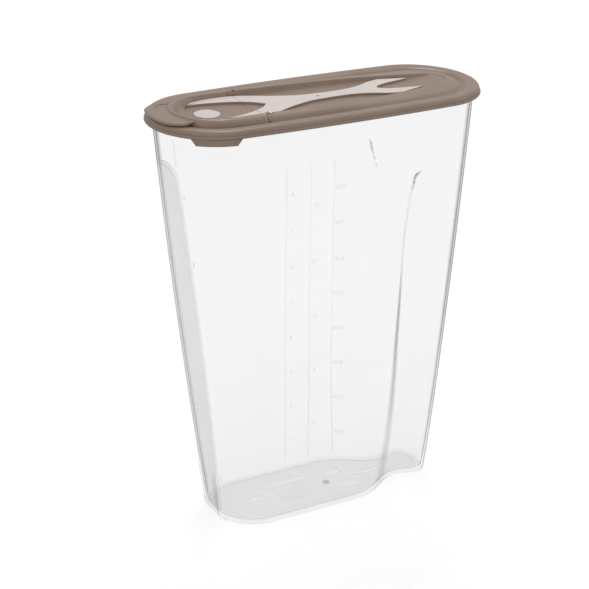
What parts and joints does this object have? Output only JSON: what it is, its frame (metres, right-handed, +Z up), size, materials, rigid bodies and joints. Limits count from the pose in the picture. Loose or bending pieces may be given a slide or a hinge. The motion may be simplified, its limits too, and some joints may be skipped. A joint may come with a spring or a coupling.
{
  "type": "dry food storage container",
  "caption": "Tall tapered dry food keeper with hand recesses, a lift-off snap lid and a hinged flip flap over the pouring mouth.",
  "frame": {"origin": "middle of the lid's outline, dropped to the surface that the container stands on", "axes": "+X towards the rear with the hand recesses, the spout at -X; +Z up"},
  "size_m": [0.2504, 0.095, 0.3084],
  "materials": {
    "clear": "clear, softly frosted",
    "taupe": "satin",
    "cream": "satin, rubber-like",
    "paper": "plain paper"
  },
  "bodies": {
    "container": {"container_body": "clear", "base_label": "paper"},
    "lid": {"lid": "taupe", "lid_inlay": "cream"},
    "flap": {"spout_flap": "taupe", "flap_inlay_left": "cream", "flap_inlay_right": "cream", "flap_badge": "cream"}
  },
  "joints": [
    {"name": "lid_lift", "type": "slide", "parent": "container", "child": "lid", "axis": [0, 0, 1], "range_m": [0, 0.08]},
    {"name": "flap_hinge", "type": "hinge", "parent": "lid", "child": "flap", "pos_m": [-0.053, 0, 0.306], "axis": [0, 1, 0], "range_deg": [0, 100]}
  ]
}
